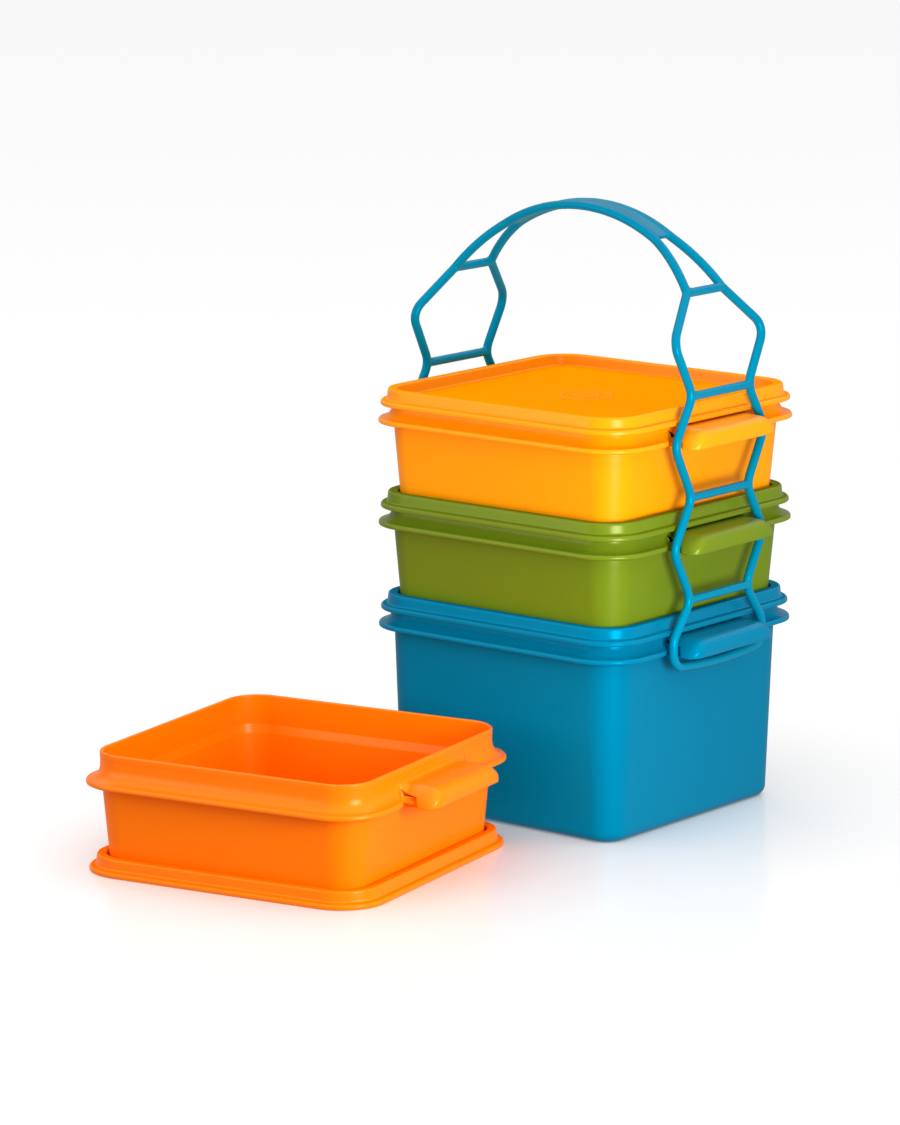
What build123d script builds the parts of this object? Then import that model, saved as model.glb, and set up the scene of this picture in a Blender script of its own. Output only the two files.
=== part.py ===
from build123d import *
import os
from math import asin, cos, degrees, radians, sin

# ---------------------------------------------------------------------------
# Stacking lunch boxes in a flexible carry strap.
# Frame: origin at the centre of the deep box's base, +Z up, +X towards the
# ladder of the strap's right half, -Y towards the plain front of the boxes.
# All sizes in millimetres.
# ---------------------------------------------------------------------------

# Every outline in plan is a square whose corners turn about the same four
# upright axes, so a half width w always has a corner radius of w - CORNER_AXIS.
CORNER_AXIS = 50.0
CORE = 53.0                  # half width where the swept rims meet the flat floors

# Boxes: heights are counted from the lower edge of the flange
FLANGE = 71.0                # half width of the flange, the widest part but the ledges
FLANGE_THICK = 2.0
NECK = 65.0                  # half width of the rim that the lid pushes over
RIM_WALL = 1.5
RIM_TOP = 14.15
WALL_TOP = 64.0              # half width of the wall just under the flange
WALL_FOOT = 61.3             # half width of the wall at its foot
WALL = 1.8
FOOT_RADIUS = 4.5
COVE_FOOT = 2.4              # the cove sweeps from the flange's edge up to the neck
COVE_HEAD = 7.4
DEEP_BOX_FLANGE = 80.65      # height of the deep box's flange above its base

# Lids: heights are counted from the lower edge of the lip
LIP = 70.0
LIP_THICK = 2.1
LID_RIM = 66.7
LID_CREST = 7.35
LID_SKIN = 1.2
RECESS_HEAD = 62.7           # half width of the recess at the crest
RECESS_FOOT = 62.1
NEST = 5.0                   # depth of the recess that holds the next box's foot
CHANNEL_GAP = 0.15           # play between the lid's channel and the box's rim

# Stack
LIP_OVER_FLANGE = RIM_TOP + LID_SKIN - LID_CREST
CREST_OVER_FLANGE = RIM_TOP + LID_SKIN
CREST_TO_NEXT_FLANGE = 30.25
BOX_FLANGE = CREST_TO_NEXT_FLANGE + NEST      # flange height of a shallow box over its base
PITCH = CREST_OVER_FLANGE + CREST_TO_NEXT_FLANGE

# Ledges, one on each side of every box, which the strap's cells hook over
LEDGE_REACH = 82.8           # from the centre plane to the ledge's outer face
LEDGE_TOP = 7.4
LEDGE_FOOT = -1.2
LEDGE_HALF_FOOT = 29.3       # half length at the foot
LEDGE_HALF_TOP = 26.2        # half length at the top
LEDGE_NOSE = 5.0             # radius over the outer edge
LEDGE_CORNER = 5.0           # plan radius of its two ends
LEDGE_SHOULDER = 3.5         # radius where its ends meet its top
LEDGE_WALL = 2.0
LEDGE_END_WALL = 3.7
HOOK_ROOT = 74.4             # each end is cut back up to here, so that its outer part is a hook
HOOK_DEEP = 1.7
OUTLINE_PAST = 0.05          # the front outline stands this far above and below the ledge's section
SLOT_DEPTH_AT = 66.3         # the flange is cut back to here beside the ledge for the strap
SLOT_END = 38.5
SLOT_RADIUS = 3.0

# Fourth box, beside the stack, standing in the nest of its own lid
SIDE_X = -33.4
SIDE_Y = -156.7
SIDE_TURN = 10.4

# Strap
BAR = 3.9                    # bar diameter
ARCH_RADIUS = 79.0
CROWN = 266.9                # height of the bars' centre line at the crown
FORK_X = 41.0                # the crown band ends and its two rails part here
RAIL_HALF = 5.8              # half spacing of the rails in the crown band
WEB_THICK = 2.2
FOOT_HALF = 12.8             # half spacing of the rails at the arch's foot
FOOT_ANGLE = 53.6
SPREAD_POWER = 1.1           # how early the rails part between the fork and the foot
LADDER_X = 72.7
CELL_HALF = 33.0             # half width at the cells' corners, before rounding
CROSS_HALF = 20.3            # half width where the cross bars join
TOP_CELL = (71.8, 216.0)     # x and height of the top cell's side corners
CROSS_HEIGHTS = (192.1, 148.1, 103.4)
CORNER_HEIGHTS = (171.5, 126.2)
LAST_CORNER = 87.0
LAST_HALF = 32.6
LOOP_CORNER = 74.9           # height of the bottom loop at its corners
LOOP_MIDDLE = 73.8           # height at its middle
BEND = 8.0
LOOP_BEND = 7.0


def swept_ring(points, radii):
    """A closed section in the XZ plane carried round the square plan."""
    outline = FilletPolyline(*points, radius=radii, close=True)
    section = make_face(Plane.XZ * outline)
    side = extrude(section, CORNER_AXIS, both=True)
    axis = Axis((CORNER_AXIS, CORNER_AXIS, 0), (0, 0, 1))
    corner = revolve(Pos(0, CORNER_AXIS, 0) * section, axis, 90)
    quarter = side + corner
    ring = quarter
    for turn in (90, 180, 270):
        ring += Rot(0, 0, turn) * quarter
    return ring


def flat_core(bottom, thick):
    """The flat middle of a floor or a lid's panel."""
    width = 2 * (CORE + 1.0)
    return Pos(0, 0, bottom) * extrude(RectangleRounded(width, width, CORE + 1.0 - CORNER_AXIS), thick)


def ledge(flange):
    """One hooked ledge on the +X side, for a box whose flange is at this height."""
    top = flange + LEDGE_TOP
    foot = flange + LEDGE_FOOT
    root = WALL_TOP - 0.3

    def block(reach, head, low, half_foot, half_top, nose, corner, shoulder):
        section = FilletPolyline(
            (root, low),
            (reach, low),
            (reach, head - 0.6),
            (root, head),
            radius=[0.01, 0.01, nose, 0.01],
            close=True,
        )
        along = extrude(make_face(Plane.XZ * section), 2 * half_foot, both=True)
        slope = (half_foot - half_top) / (top - foot)
        under = low - OUTLINE_PAST
        over = head + OUTLINE_PAST
        low_half = half_foot + slope * (foot - low)
        high_half = half_foot - slope * (over - foot)
        front = FilletPolyline(
            (-low_half, under),
            (low_half, under),
            (high_half, over),
            (-high_half, over),
            radius=[0.01, 0.01, shoulder, shoulder],
            close=True,
        )
        across = extrude(make_face(Plane.YZ * front), reach + 1, both=True)
        plan = RectangleRounded(2 * reach, 2 * half_foot, corner)
        upright = Pos(0, 0, low - 1) * extrude(plan, head - low + 2)
        return along & across & upright

    outer = block(
        LEDGE_REACH,
        top,
        foot,
        LEDGE_HALF_FOOT,
        LEDGE_HALF_TOP,
        LEDGE_NOSE,
        LEDGE_CORNER,
        LEDGE_SHOULDER,
    )
    hollow = block(
        LEDGE_REACH - LEDGE_WALL,
        top - LEDGE_WALL,
        foot - 3,
        LEDGE_HALF_FOOT - LEDGE_END_WALL,
        LEDGE_HALF_TOP - LEDGE_END_WALL,
        LEDGE_NOSE - LEDGE_WALL,
        LEDGE_CORNER - LEDGE_WALL,
        LEDGE_SHOULDER - LEDGE_WALL,
    )
    keep_out = Pos(FLANGE - 2.0 + 50, 0, flange) * Box(100, 200, 60)
    hooked = outer - (hollow & keep_out)
    notch_reach = HOOK_ROOT - SLOT_DEPTH_AT
    notch_edge = LEDGE_HALF_FOOT - HOOK_DEEP
    for side in (-1, 1):
        middle = (SLOT_DEPTH_AT + notch_reach / 2, side * (notch_edge + 5), flange)
        hooked -= Pos(*middle) * Box(notch_reach, 10, 30)
    return hooked


def strap_slots(flange):
    """The pair of cutters that let the strap lie beside the +X ledge."""
    inner = LEDGE_HALF_TOP - 0.5
    outline = FilletPolyline(
        (SLOT_DEPTH_AT, inner),
        (SLOT_DEPTH_AT, SLOT_END - 3.0),
        (FLANGE + 0.3, SLOT_END),
        (FLANGE + 8.0, SLOT_END),
        (FLANGE + 8.0, inner),
        radius=[0.01, SLOT_RADIUS, SLOT_RADIUS, 0.01, 0.01],
        close=True,
    )
    cutter = Pos(0, 0, flange - 1) * extrude(make_face(outline), COVE_HEAD + 1.6)
    return cutter + mirror(cutter, Plane.XZ)


def box_shell(flange):
    """An open box with its foot at height 0 and its flange at the given height."""
    inner_top = NECK - RIM_WALL
    inner_foot = WALL_FOOT - WALL
    rim = flange + RIM_TOP
    points = (
        (CORE, 0),
        (WALL_FOOT - 0.3, 0),
        (WALL_TOP, flange),
        (FLANGE, flange),
        (FLANGE, flange + FLANGE_THICK),
        (NECK + 2.6, flange + COVE_FOOT + 0.6),
        (NECK, flange + COVE_HEAD),
        (NECK, rim),
        (inner_top, rim),
        (inner_top, flange + 1),
        (WALL_TOP - WALL, flange - 3),
        (inner_foot, WALL),
        (CORE, WALL),
    )
    radii = [0.01, FOOT_RADIUS, 0.8, 0.7, 0.7, 3.0, 3.5, 0.6, 0.6, 1.5, 1.5, FOOT_RADIUS - WALL, 0.01]
    shell = swept_ring(points, radii) + flat_core(0, WALL)
    slots = strap_slots(flange)
    hook = ledge(flange)
    for turn in (0, 180):
        shell -= Rot(0, 0, turn) * slots
        shell += Rot(0, 0, turn) * hook
    return shell


def lid():
    """A lid with the lower edge of its lip at height 0."""
    panel = LID_CREST - NEST
    under_crest = LID_CREST - LID_SKIN
    channel_out = NECK + CHANNEL_GAP
    channel_in = NECK - RIM_WALL - CHANNEL_GAP
    points = (
        (CORE, panel),
        (CORE, panel - LID_SKIN),
        (channel_in, panel - LID_SKIN),
        (channel_in, under_crest),
        (channel_out, under_crest),
        (channel_out, 0),
        (LIP, 0),
        (LIP, LIP_THICK),
        (LID_RIM + 0.3, LIP_THICK + 0.5),
        (LID_RIM, LID_CREST),
        (RECESS_HEAD, LID_CREST),
        (RECESS_FOOT, panel),
    )
    radii = [0.01, 0.01, 0.5, 0.6, 0.6, 0.3, 0.6, 0.6, 0.6, 1.9, 1.4, 0.6]
    return swept_ring(points, radii) + flat_core(panel - LID_SKIN, LID_SKIN)


def bar(start, end):
    """A round bar with ball ends, from one point to another."""
    a = Vector(*start)
    b = Vector(*end)
    shaft = extrude(Plane(origin=a, z_dir=b - a) * Circle(BAR / 2), (b - a).length)
    return shaft + Pos(a) * Sphere(BAR / 2) + Pos(b) * Sphere(BAR / 2)


def bent_bar(points, radii):
    """A round bar along straight runs joined by tangent arcs."""
    path = FilletPolyline(*points, radius=radii)
    section = Plane(origin=path @ 0, z_dir=path % 0) * Circle(BAR / 2)
    return sweep(section, path)


def arch_point(angle, side):
    """A point on the centre line of one of the arch's two rails."""
    x = ARCH_RADIUS * sin(radians(angle))
    z = CROWN - ARCH_RADIUS * (1 - cos(radians(angle)))
    fork_angle = degrees(asin(FORK_X / ARCH_RADIUS))
    spread = max(0.0, (angle - fork_angle) / (FOOT_ANGLE - fork_angle))
    return (x, side * (RAIL_HALF + (FOOT_HALF - RAIL_HALF) * spread ** SPREAD_POWER), z)


def strap_half():
    """The +X half of the strap: half the arch, and the ladder that hangs from it."""
    fork_angle = degrees(asin(FORK_X / ARCH_RADIUS))
    arch_centre = CROWN - ARCH_RADIUS
    ring = Pos(0, 0, arch_centre) * Rot(90, 0, 0) * Torus(ARCH_RADIUS, BAR / 2)
    wedge_points = (
        (0, 0),
        (0, 200),
        (200 * sin(radians(fork_angle)), 200 * cos(radians(fork_angle))),
    )
    wedge = make_face(Plane.XZ * Polyline(*wedge_points, close=True))
    sector = Pos(0, 0, arch_centre) * extrude(wedge, 40, both=True)
    band = Circle(ARCH_RADIUS + WEB_THICK / 2) - Circle(ARCH_RADIUS - WEB_THICK / 2)
    web = Pos(0, 0, arch_centre) * Rot(90, 0, 0) * extrude(band, RAIL_HALF, both=True)
    half = web & sector
    for side in (-1, 1):
        half += (Pos(0, side * RAIL_HALF, 0) * ring) & sector

    fan = [fork_angle + (FOOT_ANGLE - fork_angle) * step / 3 for step in range(4)]
    for side in (-1, 1):
        for a, b in zip(fan, fan[1:]):
            half += bar(arch_point(a, side), arch_point(b, side))
        rail = [arch_point(FOOT_ANGLE, side), (TOP_CELL[0], side * CELL_HALF, TOP_CELL[1])]
        for cross, corner in zip(CROSS_HEIGHTS, CORNER_HEIGHTS + (None,)):
            rail.append((LADDER_X, side * CROSS_HALF, cross))
            if corner is not None:
                rail.append((LADDER_X, side * CELL_HALF, corner))
        rail.append((LADDER_X, side * LAST_HALF, LAST_CORNER))
        rail.append((LADDER_X, side * LAST_HALF, LOOP_CORNER))
        rail.append((LADDER_X, 0, LOOP_MIDDLE))
        bends = [BEND] * (len(rail) - 3) + [LOOP_BEND]
        half += bent_bar(rail, bends)

    half += Pos(LADDER_X, 0, LOOP_MIDDLE) * Sphere(BAR / 2)
    foot = arch_point(FOOT_ANGLE, 1)
    half += bar((foot[0], -foot[1], foot[2]), foot)
    for cross in CROSS_HEIGHTS:
        inner = CROSS_HALF + 0.7
        half += bar((LADDER_X, -inner, cross), (LADDER_X, inner, cross))
    return half


os.makedirs("parts", exist_ok=True)

shallow_box = box_shell(BOX_FLANGE)
deep_box = box_shell(DEEP_BOX_FLANGE)
plain_lid = lid()
right_half = strap_half()

blue_lip = DEEP_BOX_FLANGE + LIP_OVER_FLANGE
green_foot = DEEP_BOX_FLANGE + PITCH - BOX_FLANGE
side_place = Pos(SIDE_X, SIDE_Y, 0) * Rot(0, 0, SIDE_TURN)

nodes = {
    "blue_box": deep_box,
    "blue_lid": Pos(0, 0, blue_lip) * plain_lid,
    "green_box": Pos(0, 0, green_foot) * shallow_box,
    "green_lid": Pos(0, 0, blue_lip + PITCH) * plain_lid,
    "yellow_box": Pos(0, 0, green_foot + PITCH) * shallow_box,
    "yellow_lid": Pos(0, 0, blue_lip + 2 * PITCH) * plain_lid,
    "orange_lid": side_place * plain_lid,
    "orange_box": side_place * Pos(0, 0, LID_CREST - NEST) * shallow_box,
    "handle_right": right_half,
    "handle_left": mirror(right_half, Plane.YZ),
}
for name, solid in nodes.items():
    export_step(solid, f"parts/{name}.step")
    print(name, round(solid.volume), [round(v, 2) for v in solid.bounding_box().size])
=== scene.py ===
from math import asin, cos, degrees, pi, radians, sin, sqrt, tan

import bmesh
import bpy
from mathutils import Matrix, Vector


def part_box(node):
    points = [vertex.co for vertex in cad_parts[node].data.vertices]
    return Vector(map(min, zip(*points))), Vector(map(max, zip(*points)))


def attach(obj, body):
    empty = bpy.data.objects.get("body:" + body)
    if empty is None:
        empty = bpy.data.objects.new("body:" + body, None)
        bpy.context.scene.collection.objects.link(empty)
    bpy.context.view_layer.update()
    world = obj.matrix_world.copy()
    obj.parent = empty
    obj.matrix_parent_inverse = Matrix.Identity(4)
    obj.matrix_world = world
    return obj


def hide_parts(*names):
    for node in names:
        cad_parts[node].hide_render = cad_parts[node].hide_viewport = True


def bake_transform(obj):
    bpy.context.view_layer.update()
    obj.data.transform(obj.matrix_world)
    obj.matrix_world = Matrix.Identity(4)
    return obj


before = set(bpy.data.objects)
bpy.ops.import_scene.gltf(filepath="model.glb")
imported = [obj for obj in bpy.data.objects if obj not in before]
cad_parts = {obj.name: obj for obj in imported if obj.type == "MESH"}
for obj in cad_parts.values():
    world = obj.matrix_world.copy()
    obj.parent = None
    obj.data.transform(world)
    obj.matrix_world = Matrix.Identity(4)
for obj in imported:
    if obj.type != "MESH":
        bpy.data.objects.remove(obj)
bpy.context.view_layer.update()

MM = 0.001
WELD = 0.00001               # points nearer than this, in metres, become one

# Sizes of the mouldings in millimetres, on the same plan as the CAD: a square
# whose corners turn about four upright axes.
CORNER_AXIS = 50.0
CORNER_STEPS = 16
SIDE_STEPS = 10
FLANGE = 71.0
NECK = 64.9
BEAD = 65.0
BEAD_DEEP = 3.0
RIM_WALL = 1.5
RIM_TOP = 14.15
WALL_TOP = 64.0
WALL_FOOT = 61.3
WALL = 1.8
SEAM = WALL_TOP - 0.1        # where the wall's rows meet the flange's or the ledge's
FOOT_RADIUS = 4.5
FOOT_RECESS = 0.5            # the middle of the foot stands this far up
FOOT_RECESS_EDGE = 47.0
FOOT_RING = 49.2
FOOT_INSET = 0.3             # the foot's corner is this far inside the wall's line
MID_ROW = 30.0               # one row of points part-way across each floor and panel
COVE_FOOT = 2.3
COVE_HEAD = 8.2
LIP = 70.0
LIP_THICK = 2.2
LIP_BEVEL = 0.7
LID_RIM = 66.7
LID_COVE = 0.5
LID_CREST = 7.35
LID_SKIN = 1.0
PLUG_GAP = 0.15              # between a lid's plug and the inside of the rim
NEST = 5.0
CHANNEL = 65.7
RECESS_HEAD = 62.7
RECESS_FOOT = 62.1

LEDGE_REACH = 82.8
LEDGE_TOP = 7.4
LEDGE_FOOT = -1.2
LEDGE_EDGE = 0.35            # its skirt is rounded this far up from the foot
LEDGE_HALF = 29.8            # half length, at the foot
LEDGE_CORNER = 5.5           # plan radius of its ends
LEDGE_SHOULDER = 8.3         # its top starts to fall this far from each end
LEDGE_FALL_POWER = 0.75
LEDGE_NOSE = 5.0
LEDGE_NOSE_DROP = 0.6        # its nose is this much lower than its top
LEDGE_VALLEY = (68.2, 6.9)   # the foot of the cove behind it, up from the flange's underside
LEDGE_WALL = 2.0
LEDGE_END_WALL = 3.7
LEDGE_END_GAP = 0.02         # from its last hollow column to its first filled one
LEDGE_PIVOT = 66.0           # nearer the wall than this the ledge keeps its section
LEDGE_FADE = (-0.6, 1.6)     # its fall fades in from here, past the pivot, over this width
HOOK_INNER = 27.9            # a cut this far from its middle, at each end,
HOOK_ROOT = 74.4             # leaves only what is further out than this to go on as a hook
SLOT_FLOOR = 66.3
SLOT_NEAR = 31.0             # the flange comes back between these, beside the strap's slot
SLOT_END = 38.0
SLOT_ROWS = (0.0, 1.0, 2.0)  # places past the cut where the flange is cut right back
FLANGE_ROWS = (40.5, 43.5, 47.0, CORNER_AXIS)  # places where it is whole again
HOLLOW_STEPS = 14
SOLID_STEPS = 3
HOOK_STEPS = 8
SLOT_STEPS = 10


# ---------------------------------------------------------------- meshes

ARC_SHARE = 0.49             # an arc takes at most this share of the stretches beside it
HOLD = 0.12                  # share of an arc's radius from each of its ends to the point that holds it


def section(points, radii, steps=6):
    """An open section with each corner turned into an arc, held by a point at each of its ends."""
    out = [points[0]]
    for before, here, after, radius in zip(points, points[1:], points[2:], radii):
        if radius <= 0:
            out.append(here)
            continue
        a = Vector(before) - Vector(here)
        b = Vector(after) - Vector(here)
        half = a.angle(b) / 2
        run = min(radius / tan(half), ARC_SHARE * a.length, ARC_SHARE * b.length)
        radius = run * tan(half)
        a.normalize()
        b.normalize()
        centre = Vector(here) + (a + b).normalized() * (radius / sin(half))
        start = Vector(here) + a * run
        end = Vector(here) + b * run
        out.append(tuple(start + a * HOLD * radius))
        first = start - centre
        sweep = pi - 2 * half
        sign = 1 if (first.x * (end - centre).y - first.y * (end - centre).x) > 0 else -1
        for i in range(steps + 1):
            turn = sign * sweep * i / steps
            c, s = cos(turn), sin(turn)
            out.append((centre.x + c * first.x - s * first.y, centre.y + s * first.x + c * first.y))
        out.append(tuple(end + b * HOLD * radius))
    out.append(points[-1])
    return out


def plan_columns(sides, corner_rows):
    """Columns round the square plan, each a place and its rows.

    A place is a side or a corner, its number and its station or angle. Each side comes as a list
    of (station, rows), and the corners' columns all have the same rows.
    """
    columns = []
    for k, side in enumerate(sides):
        for t, rows in side:
            columns.append((("side", k, t), rows))
        for i in range(1, CORNER_STEPS):
            columns.append((("corner", k, i / CORNER_STEPS * pi / 2), corner_rows))
    return columns


def plan_point(column, w, shift=0.0):
    """Where a section point of half width w lies in plan, for one column.

    Near the middle the plan is scaled down. A shift moves the point along a side, not at a corner.
    """
    kind, k, t = column
    grow = max(w, CORNER_AXIS + 2)
    if kind == "side":
        x, y = grow, t + shift
    else:
        r = grow - CORNER_AXIS
        x, y = CORNER_AXIS + r * cos(t), CORNER_AXIS + r * sin(t)
    scale = w / grow
    x, y = x * scale, y * scale
    for _ in range(k):
        x, y = -y, x
    return x, y


def mesh_object(name, verts, faces, place=Matrix()):
    """A smooth-shaded object from points in millimetres, moved to its place."""
    mesh = bpy.data.meshes.new(name)
    mesh.from_pydata([tuple(place @ (Vector(v) * MM)) for v in verts], [], faces)
    mesh.validate()
    bm = bmesh.new()
    bm.from_mesh(mesh)
    bmesh.ops.remove_doubles(bm, verts=bm.verts, dist=WELD)
    bmesh.ops.recalc_face_normals(bm, faces=bm.faces)
    for face in bm.faces:
        face.smooth = True
    bm.to_mesh(mesh)
    bm.free()
    obj = bpy.data.objects.new(name, mesh)
    bpy.context.scene.collection.objects.link(obj)
    return obj


def plain_stations():
    """Even stations along a side with no ledge."""
    step = 2 * CORNER_AXIS / SIDE_STEPS
    return [-CORNER_AXIS + step * i for i in range(SIDE_STEPS + 1)]


def lathe_square(name, points, place):
    """A section from one centre point to the other, carried round the square plan."""
    rows = points[1:-1]
    side = [(t, rows) for t in plain_stations()]
    columns = plan_columns([side] * 4, rows)
    verts, faces = [], []
    for column, _ in columns:
        for w, z in rows:
            verts.append((*plan_point(column, w), z))
    close_rows(verts, faces, len(columns), len(rows), points[0], points[-1])
    return mesh_object(name, verts, faces, place)


def close_rows(verts, faces, n_columns, n_rows, first, last):
    """Quads between neighbouring columns, and a fan at each end of the section."""
    for j in range(n_columns):
        k = (j + 1) % n_columns
        for i in range(n_rows - 1):
            faces.append((j * n_rows + i, k * n_rows + i, k * n_rows + i + 1, j * n_rows + i + 1))
    for centre, row in ((first, 0), (last, n_rows - 1)):
        verts.append((0.0, 0.0, centre[1]))
        hub = len(verts) - 1
        for j in range(n_columns):
            k = (j + 1) % n_columns
            faces.append((j * n_rows + row, k * n_rows + row, hub))


# ---------------------------------------------------------------- lids

def lid_section():
    """From the middle underneath, round the rim and the crest to the middle of the panel."""
    panel = LID_CREST - NEST
    under = panel - LID_SKIN
    inner = NECK - RIM_WALL - PLUG_GAP
    points = [
        (0, under),
        (MID_ROW, under),
        (inner, under),
        (inner, LID_CREST - LID_SKIN),
        (CHANNEL, LID_CREST - LID_SKIN),
        (CHANNEL, 0),
        (LIP, 0),
        (LIP, LIP_THICK - LIP_BEVEL),
        (LIP - LIP_BEVEL, LIP_THICK),
        (LID_RIM + LID_COVE, LIP_THICK + LID_COVE),
        (LID_RIM, LID_CREST),
        (RECESS_HEAD, LID_CREST),
        (RECESS_FOOT, panel),
        (MID_ROW, panel),
        (0, panel),
    ]
    radii = [0, 0.6, 0.6, 0.6, 0.3, 0.55, 0.5, 0.35, 0.8, 1.1, 0.9, 0.9, 0]
    return section(points, radii)


RINGS = (11.3, 5.2)          # radii of the two faint rings in the middle of each panel
RING_WIDE = 0.9
RING_HIGH = 0.3
RING_SUNK = 0.2
RING_ANGLES = (0.2, 0.8, 1.57, 2.34, 2.94)
RING_STEPS = 72


def panel_rings(name, place):
    """Two low rounded rings that stand on a lid's panel."""
    verts, faces = [], []
    panel = LID_CREST - NEST
    ridge = [(-RING_WIDE / 2, -RING_SUNK), (RING_WIDE / 2, -RING_SUNK)]
    ridge += [(RING_WIDE / 2 * cos(t), RING_HIGH * sin(t)) for t in RING_ANGLES]
    for radius in RINGS:
        base = len(verts)
        for i in range(RING_STEPS):
            turn = 2 * pi * i / RING_STEPS
            for across, up in ridge:
                verts.append(((radius + across) * cos(turn), (radius + across) * sin(turn), panel + up))
        n = len(ridge)
        for i in range(RING_STEPS):
            for j in range(n):
                a, b = base + i * n, base + (i + 1) % RING_STEPS * n
                k = (j + 1) % n
                faces.append((a + j, b + j, b + k, a + k))
    return mesh_object(name, verts, faces, place)


# ---------------------------------------------------------------- boxes

def lerp(a, b, t):
    """The value a share t of the way from a to b."""
    return a + (b - a) * t


def ease(t):
    """A smooth step from 0 to 1."""
    t = min(1.0, max(0.0, t))
    return t * t * (3 - 2 * t)


def mixed(a, b, t):
    """The section a share t of the way from section a to section b."""
    return [(lerp(p[0], q[0], t), lerp(p[1], q[1], t)) for p, q in zip(a, b)]


def spread(points, counts):
    """Points along straight stretches, so that two sections have matching rows."""
    out = [points[0]]
    for a, b, n in zip(points, points[1:], counts):
        for i in range(1, n + 1):
            out.append((lerp(a[0], b[0], i / n), lerp(a[1], b[1], i / n)))
    return out


def arc_between(a, b, bulge, n):
    """A quarter ellipse from a to b, which leaves a upright (up_first) or level (level_first)."""
    out = []
    for i in range(1, n + 1):
        t = i / n * pi / 2
        if bulge == "up_first":
            out.append((lerp(a[0], b[0], 1 - cos(t)), lerp(a[1], b[1], sin(t))))
        else:
            out.append((lerp(a[0], b[0], sin(t)), lerp(a[1], b[1], 1 - cos(t))))
    return out


HOOK_COUNTS = (3, 4, 4, 2, 4, 3, 3)   # rows on each stretch between the eight key points
RISE_STEPS = 3
NOSE_STEPS = 10
ROOF_STEPS = 8
COVE_STEPS = 4               # the roof's last rows, where a cove sweeps up from the ledge


def hook_rows(keys, nose, roof, rise=0.0):
    """The rows of the flange or the ledge: key points underneath, a rise, the nose and the roof."""
    rows = spread(keys, HOOK_COUNTS)
    end = (rows[-1][0], rows[-1][1] + rise)
    rows += spread([rows[-1], end], (RISE_STEPS,))[1:]
    rows += arc_between(end, nose, "up_first", NOSE_STEPS)
    rows += roof
    return rows


def flange_rows(flange_z):
    """The plain flange, with the cove that sweeps up from it to the neck."""
    keys = [
        (SEAM, flange_z - 1.2),
        (WALL_TOP + 0.1, flange_z - 0.35),
        (WALL_TOP + 0.7, flange_z),
        (FLANGE - 3.5, flange_z),
        (FLANGE - 1.5, flange_z),
        (FLANGE - 0.7, flange_z + 0.02),
        (FLANGE - 0.15, flange_z + 0.3),
        (FLANGE, flange_z + 0.9),
    ]
    nose = (FLANGE - 1.0, flange_z + COVE_FOOT)
    roof = arc_between(nose, (NECK, flange_z + COVE_HEAD), "level_first", ROOF_STEPS)
    return hook_rows(keys, nose, roof)


def slot_rows(flange_z):
    """The flange where it is cut back beside the ledge."""
    keys = [
        (SEAM, flange_z - 1.2),
        (WALL_TOP + 0.1, flange_z - 0.35),
        (WALL_TOP + 0.4, flange_z),
        (WALL_TOP + 0.9, flange_z),
        (SLOT_FLOOR - 0.9, flange_z),
        (SLOT_FLOOR - 0.45, flange_z + 0.05),
        (SLOT_FLOOR - 0.1, flange_z + 0.35),
        (SLOT_FLOOR, flange_z + 0.9),
    ]
    nose = (SLOT_FLOOR - 0.1, flange_z + 3.0)
    slope = [nose, (SLOT_FLOOR - 0.5, flange_z + 5.6), (NECK, flange_z + COVE_HEAD)]
    roof = spread(slope, (ROOF_STEPS // 2, ROOF_STEPS // 2))[1:]
    return hook_rows(keys, nose, roof)


def ledge_rows(flange_z, hollow):
    """The hooked ledge: its underside, hollow or filled, its skirt, its nose and its roof."""
    foot = flange_z + LEDGE_FOOT
    top = flange_z + LEDGE_TOP
    inner = LEDGE_REACH - LEDGE_WALL
    ceiling = top - LEDGE_WALL - LEDGE_NOSE_DROP
    if hollow:
        keys = [
            (SEAM, foot),
            (WALL_TOP + 0.3, flange_z + 1.0),
            (WALL_TOP + 1.6, ceiling),
            (inner - 2.6, ceiling - 0.2),
            (inner, ceiling - 2.6),
            (inner, foot + 0.1),
        ]
    else:
        keys = [
            (SEAM, foot),
            (WALL_TOP + 1.0, foot),
            (WALL_TOP + 4.0, foot),
            (inner - 4.0, foot),
            (inner - 1.0, foot),
            (inner, foot),
        ]
    edge = foot + LEDGE_EDGE
    keys += [(inner + 0.7, foot - 0.05), (LEDGE_REACH, edge)]
    nose = (LEDGE_REACH - LEDGE_NOSE, top - LEDGE_NOSE_DROP)
    crease = (FLANGE, top - 0.1)
    valley = (LEDGE_VALLEY[0], flange_z + LEDGE_VALLEY[1])
    roof = spread([nose, crease, valley], (ROOF_STEPS - COVE_STEPS - 1, 1))[1:]
    roof += arc_between(valley, (NECK, flange_z + COVE_HEAD), "level_first", COVE_STEPS)
    return hook_rows(keys, nose, roof, nose[1] - LEDGE_NOSE - edge)


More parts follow.
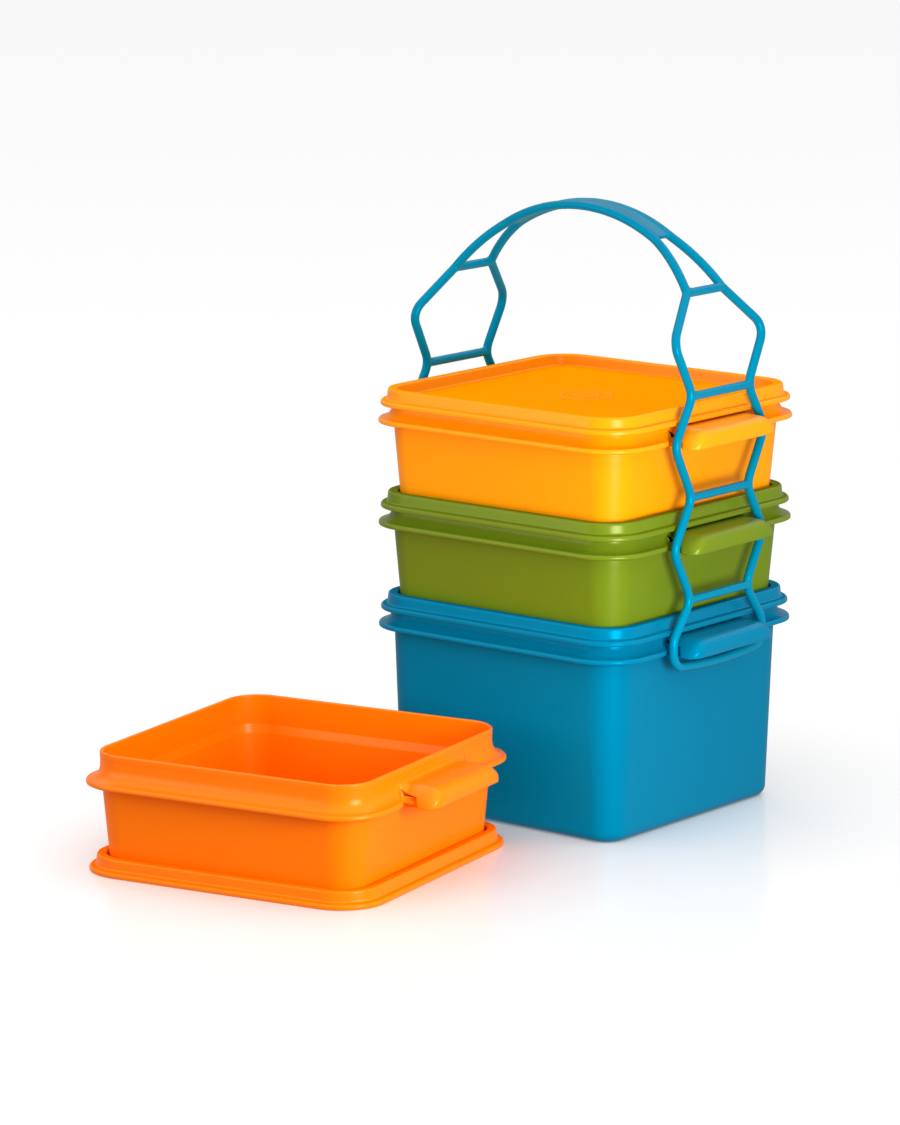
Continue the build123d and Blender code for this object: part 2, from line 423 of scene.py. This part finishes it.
def ledge_section(flange_z, y, hollow):
    """The ledge's rows at one place along it, drawn in where its ends are rounded."""
    foot = flange_z + LEDGE_FOOT
    past = max(0.0, y - (LEDGE_HALF - LEDGE_CORNER))
    out = LEDGE_REACH - LEDGE_CORNER + sqrt(max(0.0, LEDGE_CORNER ** 2 - past ** 2))
    narrow = (out - LEDGE_PIVOT) / (LEDGE_REACH - LEDGE_PIVOT)
    fall = max(0.0, y - (LEDGE_HALF - LEDGE_SHOULDER)) / LEDGE_SHOULDER
    share = max(0.0, 1 - fall ** 2) ** LEDGE_FALL_POWER
    rows = []
    for w, z in ledge_rows(flange_z, hollow):
        if w > LEDGE_PIVOT:
            w = LEDGE_PIVOT + (w - LEDGE_PIVOT) * narrow
        keep = lerp(1.0, share, ease((w - LEDGE_PIVOT - LEDGE_FADE[0]) / LEDGE_FADE[1]))
        rows.append((w, y, z if z < foot else foot + (z - foot) * keep))
    return rows


def hook_column(inner, own):
    """Past the cut the ledge keeps only its outer part, and the rest stays at the cut."""
    rows = []
    for at_cut, (w, y, z) in zip(inner, own):
        rows.append(at_cut if at_cut[0] < HOOK_ROOT else (max(HOOK_ROOT, w), y, z))
    return rows


def cut_column(inner):
    """The face of the cut, with the outer part's rows gathered on its edge."""
    outer = [i for i, row in enumerate(inner) if row[0] >= HOOK_ROOT]
    low_z = inner[outer[0]][2]
    high_z = inner[outer[-1]][2]
    rows = list(inner)
    for n, i in enumerate(outer):
        rows[i] = (HOOK_ROOT, HOOK_INNER, lerp(low_z, high_z, n / (len(outer) - 1)))
    return rows


def ledge_side(flange_z):
    """(station of the wall's rows, hook rows) from the middle of a hooked side to its corner."""
    columns = []
    hollow_end = LEDGE_HALF - LEDGE_END_WALL
    for i in range(HOLLOW_STEPS + 1):
        y = hollow_end * i / HOLLOW_STEPS
        columns.append((y, ledge_section(flange_z, y, True)))
    for i in range(SOLID_STEPS + 1):
        y = lerp(hollow_end + LEDGE_END_GAP, HOOK_INNER, i / SOLID_STEPS)
        columns.append((y, ledge_section(flange_z, y, False)))
    inner = ledge_section(flange_z, HOOK_INNER, False)
    for i in range(1, HOOK_STEPS + 1):
        y = lerp(HOOK_INNER, LEDGE_HALF, sin(i / HOOK_STEPS * pi / 2))
        columns.append((HOOK_INNER, hook_column(inner, ledge_section(flange_z, y, False))))
    columns.append((HOOK_INNER, cut_column(inner)))
    flange, slot = flange_rows(flange_z), slot_rows(flange_z)
    for past in SLOT_ROWS:
        y = HOOK_INNER + past
        columns.append((y, [(w, y, z) for w, z in slot]))
    for i in range(SLOT_STEPS + 1):
        turn = i / SLOT_STEPS * pi / 2
        y = lerp(SLOT_NEAR, SLOT_END, 1 - cos(turn))
        columns.append((y, [(w, y, z) for w, z in mixed(slot, flange, sin(turn))]))
    for y in FLANGE_ROWS:
        columns.append((y, [(w, y, z) for w, z in flange]))
    return columns


def box_rows(flange_z):
    """The section's rows before and after the flange, shared by every column."""
    below = section(
        [
            (0, FOOT_RECESS),
            (MID_ROW, FOOT_RECESS),
            (FOOT_RECESS_EDGE, FOOT_RECESS),
            (FOOT_RING, 0),
            (WALL_FOOT - FOOT_INSET, 0),
            (WALL_TOP - 0.15, flange_z - 4.0),
            (SEAM, flange_z - 1.6),
        ],
        [0, 0.6, 0.6, FOOT_RADIUS, 0],
        steps=8,
    )
    inner = NECK - RIM_WALL
    above = section(
        [
            (NECK, flange_z + COVE_HEAD + 0.3),
            (NECK, flange_z + RIM_TOP - BEAD_DEEP),
            (BEAD, flange_z + RIM_TOP - BEAD_DEEP + 0.7),
            (BEAD, flange_z + RIM_TOP),
            (inner, flange_z + RIM_TOP),
            (inner, flange_z + 1.0),
            (WALL_TOP - WALL, flange_z - 3.0),
            (WALL_FOOT - WALL, WALL),
            (MID_ROW, WALL),
            (0, WALL),
        ],
        [0.4, 0.4, 0.75, 0.7, 2.5, 2.5, FOOT_RADIUS - WALL + 0.6, 0],
        steps=7,
    )
    return below, above


def box_shell(name, flange_z, place):
    """An open box with its foot at height 0 and its flange's underside at flange_z."""
    below, above = box_rows(flange_z)
    flange = flange_rows(flange_z)
    half = ledge_side(flange_z)
    hooked = [(-t, [(w, -y, z) for w, y, z in rows]) for t, rows in reversed(half[1:])] + half
    plain = [(t, [(w, t, z) for w, z in flange]) for t in plain_stations()]
    corner = [(w, 0, z) for w, z in flange]
    columns = plan_columns([hooked, plain] * 2, corner)
    verts, faces = [], []
    for column, rows in columns:
        t = column[2]
        for w, z in below[1:]:
            verts.append((*plan_point(column, w), z))
        for w, y, z in rows:
            verts.append((*plan_point(column, w, y - t), z))
        for w, z in above[:-1]:
            verts.append((*plan_point(column, w), z))
    n_rows = len(below) - 1 + len(flange) + len(above) - 1
    close_rows(verts, faces, len(columns), n_rows, below[0], above[-1])
    return mesh_object(name, verts, faces, place)


# ---------------------------------------------------------------- placing

def low(node):
    """The lower corner of a CAD node's box, in metres."""
    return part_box(node)[0]


def high(node):
    """The upper corner of a CAD node's box, in metres."""
    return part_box(node)[1]


MOULDED = ("blue", "green", "yellow", "orange")
SIDE_TURN = 10.4


def place_of(node):
    """On the stack's axis, or turned and in front of it for the orange box and its lid."""
    z = low(node)[2]
    if not node.startswith("orange"):
        return Matrix.Translation((0, 0, z))
    a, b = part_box("orange_lid")
    middle = (Vector(a) + Vector(b)) / 2
    return Matrix.Translation((middle.x, middle.y, z)) @ Matrix.Rotation(radians(SIDE_TURN), 4, "Z")


boxes = {}
for colour in MOULDED:
    node = colour + "_box"
    flange_z = (high(node)[2] - low(node)[2] - RIM_TOP * MM) / MM
    boxes[node] = box_shell(node + "_shell", flange_z, place_of(node))

lids, rings = {}, {}
for colour in MOULDED:
    node = colour + "_lid"
    lids[node] = lathe_square(node + "_shell", lid_section(), place_of(node))
    rings[node] = panel_rings(node + "_rings", place_of(node))

BODY_OF = {
    "blue_box": "stack",
    "blue_lid": "stack",
    "green_box": "stack",
    "green_lid": "stack",
    "yellow_box": "stack",
    "yellow_lid": "top_lid",
    "orange_lid": "side_lid",
    "orange_box": "side_box",
}
for node, piece in {**boxes, **lids}.items():
    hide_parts(node)
for pieces in (boxes, lids, rings):
    for node, piece in pieces.items():
        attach(piece, BODY_OF[node])


# ---------------------------------------------------------------- strap

# Two rails with a thin web between them over the crown. Past the web's ends,
# the forks, they spread apart to a ladder of cells on each side. Places are in
# millimetres, in the frame's axes.
BAR = 3.9
BAR_SIDES = 16
DOME_ANGLES = (1.3, 0.9, 0.45)
ARCH_RADIUS = 79.0
ARCH_STEPS = 60
CROWN = high("handle_right")[2] / MM - BAR / 2
LADDER_X = high("handle_right")[0] / MM - BAR / 2
FORK_X = 41.0
RAIL_HALF = 5.8
WEB_THICK = 2.2
WEB_STEPS = 24
FOOT_HALF = 12.8
FOOT_ANGLE = 53.6
SPREAD_POWER = 1.1
CELL_HALF = 33.0
CROSS_HALF = 20.3
TOP_CELL = (71.8, 216.0)
CROSS_HEIGHTS = (192.1, 148.1, 103.4)
CORNER_HEIGHTS = (171.5, 126.2)
LAST_CORNER = 87.0
LAST_HALF = 32.6
LOOP_HALF = LAST_HALF - 0.3
LOOP_CORNER = 75.4
LOOP_QUARTER = (15.0, 73.85)
LOOP_MIDDLE = 73.4
BEND = 8.0
LOOP_SWEEP = 120.0
STRAP_VOXEL = 0.6
STRAP_SMOOTHING = 5
STRAP_SMOOTHING_SHARE = 0.5
STRAP_SWELL = 0.06           # added to the bars' radius for what remeshing and smoothing take off


def rounded(points, radii, steps=8):
    """A path in space with each of its corners turned into an arc."""
    out = [Vector(points[0])]
    for before, here, after, radius in zip(points, points[1:], points[2:], radii):
        here = Vector(here)
        a = Vector(before) - here
        b = Vector(after) - here
        half = a.angle(b) / 2
        run = min(radius / tan(half), ARC_SHARE * a.length, ARC_SHARE * b.length)
        radius = run * tan(half)
        a.normalize()
        b.normalize()
        centre = here + (a + b).normalized() * (radius / sin(half))
        first = here + a * run - centre
        last = here + b * run - centre
        first.normalize()
        last.normalize()
        out += [centre + first.slerp(last, i / steps) * radius for i in range(steps + 1)]
    out.append(Vector(points[-1]))
    return out


def tube(verts, faces, path, radius):
    """A round bar with domed ends along a path, added to the lists of a mesh."""
    tangents = []
    for i in range(len(path)):
        tangents.append((path[min(i + 1, len(path) - 1)] - path[max(i - 1, 0)]).normalized())
    across = tangents[0].orthogonal().normalized()
    rings = []
    dome = [(-sin(t), cos(t)) for t in DOME_ANGLES]
    end = len(path) - 1
    path_rings = [(path[0] + tangents[0] * radius * back, 0, r) for back, r in dome]
    path_rings += [(point, i, 1.0) for i, point in enumerate(path)]
    path_rings += [(path[end] - tangents[end] * radius * back, end, r) for back, r in reversed(dome)]
    for centre, i, share in path_rings:
        along = tangents[i]
        across = (across - along * across.dot(along)).normalized()
        up = along.cross(across)
        ring = []
        for k in range(BAR_SIDES):
            turn = 2 * pi * k / BAR_SIDES
            ring.append(len(verts))
            verts.append(tuple(centre + (across * cos(turn) + up * sin(turn)) * radius * share))
        rings.append(ring)
    for ring, after in zip(rings, rings[1:]):
        for k in range(BAR_SIDES):
            n = (k + 1) % BAR_SIDES
            faces.append((ring[k], ring[n], after[n], after[k]))
    faces.append(tuple(reversed(rings[0])))
    faces.append(tuple(rings[-1]))


def arch_point(angle, side):
    """A point on the centre line of one of the arch's two rails."""
    fork = degrees(asin(FORK_X / ARCH_RADIUS))
    spread_out = max(0.0, (abs(angle) - fork) / (FOOT_ANGLE - fork)) ** SPREAD_POWER
    x = ARCH_RADIUS * sin(radians(angle))
    z = CROWN - ARCH_RADIUS * (1 - cos(radians(angle)))
    return Vector((x, side * lerp(RAIL_HALF, FOOT_HALF, spread_out), z))


def web(verts, faces):
    """The thin band between the two rails over the crown."""
    fork = asin(FORK_X / ARCH_RADIUS)
    base = len(verts)
    for i in range(WEB_STEPS + 1):
        turn = lerp(-fork, fork, i / WEB_STEPS)
        for radius in (ARCH_RADIUS - WEB_THICK / 2, ARCH_RADIUS + WEB_THICK / 2):
            for side in (-1, 1):
                z = CROWN - ARCH_RADIUS + radius * cos(turn)
                verts.append((radius * sin(turn), side * RAIL_HALF, z))
    ring = (0, 1, 3, 2)
    for i in range(WEB_STEPS):
        for k in range(4):
            a, b = base + 4 * i + ring[k], base + 4 * i + ring[(k + 1) % 4]
            faces.append((a, b, b + 4, a + 4))
    faces.append(tuple(base + k for k in reversed(ring)))
    faces.append(tuple(base + 4 * WEB_STEPS + k for k in ring))


def ladder_path(end):
    """One run of bar from an arch foot, down the cells, round the bottom loop and up again."""
    down = [arch_point(FOOT_ANGLE, 1), (TOP_CELL[0], CELL_HALF, TOP_CELL[1])]
    for cross, corner in zip(CROSS_HEIGHTS, CORNER_HEIGHTS + (None,)):
        down.append((LADDER_X, CROSS_HALF, cross))
        if corner is not None:
            down.append((LADDER_X, CELL_HALF, corner))
    down.append((LADDER_X, LAST_HALF, LAST_CORNER))
    down.append((LADDER_X, LOOP_HALF, LOOP_CORNER))
    down.append((LADDER_X, *LOOP_QUARTER))
    bends = [BEND] * (len(down) - 2) + [LOOP_SWEEP]
    path = down + [(LADDER_X, 0, LOOP_MIDDLE)] + [(p[0], -p[1], p[2]) for p in reversed(down)]
    return [Vector((end * p.x, p.y, p.z)) for p in rounded(path, bends + [LOOP_SWEEP] + bends[::-1])]


def rough_strap():
    """All the bars and the web of the strap, still running through each other."""
    verts, faces = [], []
    radius = BAR / 2 + STRAP_SWELL
    for side in (-1, 1):
        angles = [lerp(-FOOT_ANGLE, FOOT_ANGLE, i / ARCH_STEPS) for i in range(ARCH_STEPS + 1)]
        tube(verts, faces, [arch_point(angle, side) for angle in angles], radius)
    for end in (-1, 1):
        tube(verts, faces, ladder_path(end), radius)
        foot = arch_point(end * FOOT_ANGLE, 1)
        tube(verts, faces, [Vector((foot.x, -foot.y, foot.z)), foot], radius)
        for height in CROSS_HEIGHTS:
            ends = [Vector((end * LADDER_X, side * CROSS_HALF, height)) for side in (-1, 1)]
            tube(verts, faces, ends, radius)
    web(verts, faces)
    return mesh_object("strap_rough", verts, faces)


def strap():
    """The strap as one moulding: a voxel remesh joins its bars, and smoothing fillets them."""
    rough = rough_strap()
    remesh = rough.modifiers.new("remesh", "REMESH")
    remesh.mode = "VOXEL"
    remesh.voxel_size = STRAP_VOXEL * MM
    smoothing = rough.modifiers.new("smoothing", "SMOOTH")
    smoothing.factor = STRAP_SMOOTHING_SHARE
    smoothing.iterations = STRAP_SMOOTHING
    graph = bpy.context.evaluated_depsgraph_get()
    mesh = bpy.data.meshes.new_from_object(rough.evaluated_get(graph))
    bpy.data.objects.remove(rough)
    mesh.name = "carry_strap"
    for face in mesh.polygons:
        face.use_smooth = True
    piece = bpy.data.objects.new("carry_strap", mesh)
    bpy.context.scene.collection.objects.link(piece)
    return piece


carry_strap = strap()
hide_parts("handle_left", "handle_right")
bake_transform(carry_strap)


# ---------------------------------------------------------------- materials

COLOURS = {
    "blue": (0.0, 0.166, 0.295),
    "green": (0.133, 0.198, 0.006),
    "yellow": (0.97, 0.305, 0.0),
    "orange": (1.0, 0.175, 0.0),
    "handle": (0.0, 0.205, 0.34),
}
CREAM = (1.0, 0.92, 0.55)
SEA_BLUE = (0.0, 0.55, 1.0)
TINT = {"blue": SEA_BLUE, "green": CREAM, "yellow": CREAM, "orange": CREAM, "handle": SEA_BLUE}
# Each colour's specular level, and the metallic share that lends its gloss the plastic's own colour.
GLEAM = {"blue": 0.12, "green": 0.17, "yellow": 0.17, "orange": 0.15, "handle": 0.20}
BODY_GLEAM = {"blue": 0.08, "green": 0.04, "yellow": 0.0, "orange": 0.0, "handle": 0.08}
GRAIN_SCALE = 2600
GRAIN_DETAIL = 2
GRAIN_STRENGTH = 0.06
GRAIN_DEEP = 0.0002
FLOW_SCALE = 30
FLOW_DETAIL = 3
ROUGHNESS_SWING = 0.05
WALL_ROUGHNESS = 0.38
HANDLE_ROUGHNESS = 0.28
RIM_ROUGHNESS = 0.28
RIM_GLEAM = 1.6              # a rim's specular level, as a multiple of its colour's
RIM_BAND = 1.5               # a box's glossier part starts this far under its flange, in mm
SATIN_ROUGHNESS = 0.45
SATIN_BODY_GLEAM = 0.06
LEVEL = 0.9                  # a lid's faces whose normals rise more than this are satin


def plastic(name, colour, roughness, gleam, body_gleam, tint):
    """Coloured moulded plastic: fine grain, and faint broad flow marks in the gloss."""
    mat = bpy.data.materials.new(name)
    mat.use_nodes = True
    nodes, links = mat.node_tree.nodes, mat.node_tree.links
    shader = nodes["Principled BSDF"]
    shader.inputs["Base Color"].default_value = (*colour, 1)
    shader.inputs["Specular IOR Level"].default_value = gleam
    shader.inputs["Metallic"].default_value = body_gleam
    shader.inputs["Specular Tint"].default_value = (*tint, 1)
    coord = nodes.new("ShaderNodeTexCoord")
    grain = nodes.new("ShaderNodeTexNoise")
    grain.inputs["Scale"].default_value = GRAIN_SCALE
    grain.inputs["Detail"].default_value = GRAIN_DETAIL
    bump = nodes.new("ShaderNodeBump")
    bump.inputs["Strength"].default_value = GRAIN_STRENGTH
    bump.inputs["Distance"].default_value = GRAIN_DEEP
    flow = nodes.new("ShaderNodeTexNoise")
    flow.inputs["Scale"].default_value = FLOW_SCALE
    flow.inputs["Detail"].default_value = FLOW_DETAIL
    gloss = nodes.new("ShaderNodeMapRange")
    gloss.inputs["To Min"].default_value = roughness - ROUGHNESS_SWING
    gloss.inputs["To Max"].default_value = roughness + ROUGHNESS_SWING
    links.new(coord.outputs["Object"], grain.inputs["Vector"])
    links.new(coord.outputs["Object"], flow.inputs["Vector"])
    links.new(grain.outputs["Fac"], bump.inputs["Height"])
    links.new(bump.outputs["Normal"], shader.inputs["Normal"])
    links.new(flow.outputs["Fac"], gloss.inputs["Value"])
    links.new(gloss.outputs["Result"], shader.inputs["Roughness"])
    return mat


def wall_plastic(node, colour):
    """The plastic of a box's walls and of a lid's two rings."""
    shine = (GLEAM[colour], BODY_GLEAM[colour], TINT[colour])
    return plastic(node + "_plastic", COLOURS[colour], WALL_ROUGHNESS, *shine)


def rim_plastic(node, colour):
    """The same plastic, glossier, for flanges, ledges, rims and the edges of lids."""
    shine = (GLEAM[colour] * RIM_GLEAM, BODY_GLEAM[colour], TINT[colour])
    return plastic(node + "_rim", COLOURS[colour], RIM_ROUGHNESS, *shine)


def satin_plastic(node, colour):
    """The matt top of a lid."""
    return plastic(node + "_satin", COLOURS[colour], SATIN_ROUGHNESS, 0.0, SATIN_BODY_GLEAM, CREAM)


def dress_box(node, box, colour):
    """Wall plastic below the flange, and rim plastic from just under the flange up."""
    box.data.materials.append(wall_plastic(node, colour))
    box.data.materials.append(rim_plastic(node, colour))
    rim_foot = high(node)[2] - (RIM_TOP + RIM_BAND) * MM
    for face in box.data.polygons:
        face.material_index = 1 if face.center.z > rim_foot else 0


def dress_lid(node, lid, marks, colour):
    """Rim plastic round the lid, satin on its level top, and wall plastic on its rings."""
    lid.data.materials.append(rim_plastic(node, colour))
    lid.data.materials.append(satin_plastic(node, colour))
    for face in lid.data.polygons:
        face.material_index = 1 if face.normal.z > LEVEL else 0
    marks.data.materials.append(wall_plastic(node, colour))


for colour in MOULDED:
    box, lid = colour + "_box", colour + "_lid"
    dress_box(box, boxes[box], colour)
    dress_lid(lid, lids[lid], rings[lid], colour)
shine = (GLEAM["handle"], BODY_GLEAM["handle"], TINT["handle"])
carry_strap.data.materials.append(plastic("strap_plastic", COLOURS["handle"], HANDLE_ROUGHNESS, *shine))


# ---------------------------------------------------------------- stage

FLOOR_HALF = 20.0
FLOOR_WHITE = 0.95
FLOOR_GLOW = 0.12
FLOOR_ROUGHNESS = 0.2


def stage():
    """A plain pale floor. It glows a little, and the object neither reflects it nor takes its light."""
    h = FLOOR_HALF
    mesh = bpy.data.meshes.new("floor")
    mesh.from_pydata([(-h, -h, 0), (h, -h, 0), (h, h, 0), (-h, h, 0)], [], [(0, 1, 2, 3)])
    floor = bpy.data.objects.new("floor", mesh)
    bpy.context.scene.collection.objects.link(floor)
    mat = bpy.data.materials.new("floor_gloss")
    mat.use_nodes = True
    shader = mat.node_tree.nodes["Principled BSDF"]
    shader.inputs["Base Color"].default_value = (FLOOR_WHITE, FLOOR_WHITE, FLOOR_WHITE, 1)
    shader.inputs["Roughness"].default_value = FLOOR_ROUGHNESS
    shader.inputs["Emission Color"].default_value = (1, 1, 1, 1)
    shader.inputs["Emission Strength"].default_value = FLOOR_GLOW
    mesh.materials.append(mat)
    floor.visible_diffuse = False
    floor.visible_glossy = False
    return floor


WORLD_STRENGTH = 0.46
SUN_STRENGTH = 2.3
SUN_ANGLE = 120.0
LAMPS = {
    # azimuth and elevation in degrees, distance and width in metres, watts
    "key": (-30.0, 7.0, 0.46, 0.20, 2.15),
    "fill": (-120.0, 14.0, 1.60, 0.80, 5.2),
}
LAMP_TARGET = (0.0, 0.0, 0.07)


def lamp(name, azimuth, elevation, distance, width, power):
    """A round lamp that faces its target and that the camera doesn't see."""
    azimuth, elevation = radians(azimuth), radians(elevation)
    out = Vector((cos(azimuth) * cos(elevation), sin(azimuth) * cos(elevation), sin(elevation)))
    light = bpy.data.lights.new(name, "AREA")
    light.shape = "DISK"
    light.size = width
    light.energy = power
    obj = bpy.data.objects.new(name, light)
    obj.location = Vector(LAMP_TARGET) + out * distance
    obj.rotation_euler = (-out).to_track_quat("-Z", "Y").to_euler()
    obj.visible_camera = False
    bpy.context.scene.collection.objects.link(obj)
    return obj


def studio(floor):
    """A pale surround, two soft lamps for the object alone and a wide soft light from above."""
    world = bpy.data.worlds.new("studio")
    bpy.context.scene.world = world
    world.use_nodes = True
    back = world.node_tree.nodes["Background"]
    back.inputs["Color"].default_value = (1, 1, 1, 1)
    back.inputs["Strength"].default_value = WORLD_STRENGTH

    unlit = bpy.data.collections.new("unlit")
    unlit.objects.link(floor)
    unlit.collection_objects[0].light_linking.link_state = "EXCLUDE"
    for name, values in LAMPS.items():
        lamp(name, *values).light_linking.receiver_collection = unlit

    light = bpy.data.lights.new("overhead", "SUN")
    light.energy = SUN_STRENGTH
    light.angle = radians(SUN_ANGLE)
    bpy.context.scene.collection.objects.link(bpy.data.objects.new("overhead", light))
    bpy.context.scene.view_settings.view_transform = "Standard"


SENSOR_WIDTH = 36            # millimetres
CLIP_END = 100               # metres
CAMERA_AZIMUTH = 38.90
CAMERA_ELEVATION = 11.47
CAMERA_DISTANCE = 2.14886
CAMERA_LENS = 155.27
CAMERA_SIDEWAYS = -0.05982
CAMERA_HEIGHT = 0.10722


def camera():
    """A long-lens camera in front of the object and to its right, looking slightly down."""
    azimuth, elevation = radians(CAMERA_AZIMUTH), radians(CAMERA_ELEVATION)
    back = Vector((sin(azimuth) * cos(elevation), -cos(azimuth) * cos(elevation), sin(elevation)))
    right = Vector((cos(azimuth), sin(azimuth), 0))
    data = bpy.data.cameras.new("camera")
    data.sensor_width = SENSOR_WIDTH
    data.lens = CAMERA_LENS
    data.clip_end = CLIP_END
    cam = bpy.data.objects.new("camera", data)
    bpy.context.scene.collection.objects.link(cam)
    cam.location = right * CAMERA_SIDEWAYS + Vector((0, 0, CAMERA_HEIGHT)) + back * CAMERA_DISTANCE
    cam.rotation_euler = (-back).to_track_quat("-Z", "Y").to_euler()
    bpy.context.scene.camera = cam


studio(stage())
camera()
